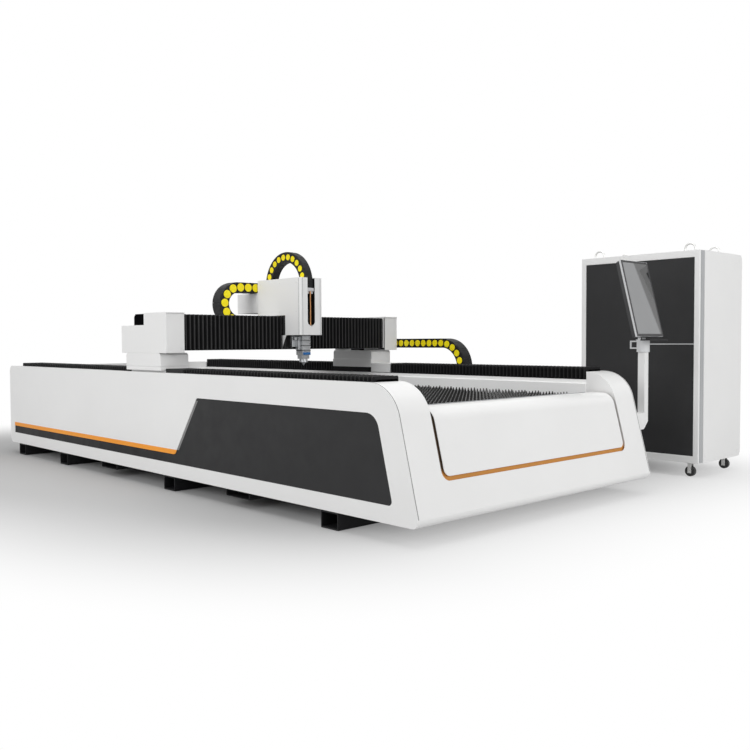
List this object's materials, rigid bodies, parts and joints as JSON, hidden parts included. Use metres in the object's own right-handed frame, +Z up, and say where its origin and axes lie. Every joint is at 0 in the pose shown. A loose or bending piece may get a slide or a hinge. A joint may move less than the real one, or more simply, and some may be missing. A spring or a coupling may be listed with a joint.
{
  "type": "fiber laser cutting machine",
  "caption": "Open flatbed fiber laser cutter: bed with toothed slats, bridge gantry, sliding carriage and cutting head, operator screen on a post and a control cabinet beside it.",
  "frame": {"origin": "on the floor under the middle of the whole set's bounding box", "axes": "+X along the bed to the operator's leaning end, -Y to the decorated long side, +Z up"},
  "size_m": [5.51, 3.88, 1.815],
  "materials": {
    "white_paint": "satin white powder coat",
    "dark_paint": "satin charcoal powder coat",
    "orange_paint": "satin orange paint",
    "black_paint": "matt black paint",
    "frame_grey": "light grey primer paint",
    "rail_steel": "ground steel",
    "plate_steel": "milled steel",
    "slat_steel": "dark rolled steel",
    "tray_zinc": "galvanised sheet",
    "bellows_cloth": "coated black cloth",
    "chain_black": "black moulded nylon",
    "disc_yellow": "bright yellow moulded nylon",
    "motor_black": "black motor casing",
    "screw_bronze": "oiled bronze tone",
    "head_aluminium": "bead-blasted aluminium",
    "lens_blue": "blue anodised look",
    "collar_grey": "grey paint",
    "screen_shell": "black moulded shell",
    "screen_glass": "glossy dark touch glass",
    "module_grey": "grey module casing",
    "eye_zinc": "zinc plated steel",
    "wheel_rubber": "black rubber tyre"
  },
  "bodies": {
    "bed": {"near_side_panel": "white_paint", "far_side_panel": "white_paint", "near_end_cover": "white_paint", "end_panel": "white_paint", "far_end_cover": "white_paint", "inner_walls": "white_paint", "cabinet_frame": "white_paint", "cabinet_panels": "white_paint", "chain_trough": "white_paint", "side_inset_panel": "dark_paint", "front_panels": "dark_paint", "side_stripe": "orange_paint", "end_backing": "orange_paint", "floor_tubes": "black_paint", "cross_tubes": "black_paint", "bed_frame": "frame_grey", "slat_carriers": "frame_grey", "panel_post": "frame_grey", "x_rails": "rail_steel", "slats": "slat_steel", "scrap_tray": "tray_zinc", "bed_bellows": "bellows_cloth", "x_chain": "chain_black", "x_chain_discs": "disc_yellow", "cabinet_modules": "module_grey", "lifting_eyes": "eye_zinc"},
    "gantry": {"saddles": "plate_steel", "x_servos": "motor_black", "foot_covers": "white_paint", "end_housings": "white_paint", "beam": "frame_grey", "y_rails": "rail_steel", "chain_tray": "white_paint", "beam_bellows": "bellows_cloth", "y_chain": "chain_black", "y_chain_discs": "disc_yellow"},
    "carriage": {"carriage_plate": "plate_steel", "carriage_cover": "white_paint", "chain_box": "white_paint", "z_rails": "rail_steel", "z_motor": "motor_black", "z_chain": "chain_black", "z_chain_discs": "disc_yellow"},
    "screw": {"ball_screw": "screw_bronze"},
    "head": {"head_plate": "plate_steel", "head_body": "head_aluminium", "lens_drawer": "lens_blue", "nozzle": "head_aluminium"},
    "panel_arm": {"swivel_collar": "collar_grey"},
    "screen": {"screen_housing": "screen_shell", "screen_glass": "screen_glass"},
    "caster_1": {"caster_fork_1": "eye_zinc"},
    "wheel_1": {"caster_wheel_1": "wheel_rubber"},
    "caster_2": {"caster_fork_2": "eye_zinc"},
    "wheel_2": {"caster_wheel_2": "wheel_rubber"},
    "caster_3": {"caster_fork_3": "eye_zinc"},
    "wheel_3": {"caster_wheel_3": "wheel_rubber"},
    "caster_4": {"caster_fork_4": "eye_zinc"},
    "wheel_4": {"caster_wheel_4": "wheel_rubber"}
  },
  "joints": [
    {"name": "gantry_slide", "type": "slide", "parent": "bed", "child": "gantry", "axis": [1, 0, 0], "range_m": [-1.95, 1.95], "deforming": ["bed_bellows", "x_chain", "x_chain_discs"]},
    {"name": "carriage_slide", "type": "slide", "parent": "gantry", "child": "carriage", "axis": [0, 1, 0], "range_m": [-0.76, 0.76], "deforming": ["beam_bellows", "y_chain", "y_chain_discs"]},
    {"name": "head_slide", "type": "slide", "parent": "carriage", "child": "head", "axis": [0, 0, 1], "range_m": [-0.14, 0.015], "deforming": ["z_chain", "z_chain_discs"]},
    {"name": "screw_spin", "type": "hinge", "parent": "carriage", "child": "screw", "pos_m": [0.338, -0.78, 1.3], "axis": [0, 0, 1], "continuous": true},
    {"name": "panel_swivel", "type": "hinge", "parent": "bed", "child": "panel_arm", "pos_m": [2.52658, 0.68, 0.974], "axis": [0, 0, 1], "range_deg": [-60, 60]},
    {"name": "screen_tilt", "type": "hinge", "parent": "panel_arm", "child": "screen", "pos_m": [2.51385, 0.68, 1.1337], "axis": [0, 1, 0], "range_deg": [-14, 14]},
    {"name": "caster_swivel_1", "type": "hinge", "parent": "bed", "child": "caster_1", "pos_m": [1.72358, 1.284, 0.104], "axis": [0, 0, 1], "continuous": true},
    {"name": "wheel_spin_1", "type": "hinge", "parent": "caster_1", "child": "wheel_1", "pos_m": [1.70158, 1.284, 0.04], "axis": [0, 1, 0], "continuous": true},
    {"name": "caster_swivel_2", "type": "hinge", "parent": "bed", "child": "caster_2", "pos_m": [1.72358, 1.87, 0.104], "axis": [0, 0, 1], "continuous": true},
    {"name": "wheel_spin_2", "type": "hinge", "parent": "caster_2", "child": "wheel_2", "pos_m": [1.70158, 1.87, 0.04], "axis": [0, 1, 0], "continuous": true},
    {"name": "caster_swivel_3", "type": "hinge", "parent": "bed", "child": "caster_3", "pos_m": [2.62159, 1.284, 0.104], "axis": [0, 0, 1], "continuous": true},
    {"name": "wheel_spin_3", "type": "hinge", "parent": "caster_3", "child": "wheel_3", "pos_m": [2.59958, 1.284, 0.04], "axis": [0, 1, 0], "continuous": true},
    {"name": "caster_swivel_4", "type": "hinge", "parent": "bed", "child": "caster_4", "pos_m": [2.62159, 1.87, 0.104], "axis": [0, 0, 1], "continuous": true},
    {"name": "wheel_spin_4", "type": "hinge", "parent": "caster_4", "child": "wheel_4", "pos_m": [2.59958, 1.87, 0.04], "axis": [0, 1, 0], "continuous": true}
  ],
  "couplings": [
    {"joint": "screw_spin", "follows": "head_slide", "rad_per_m": 628.32}
  ]
}
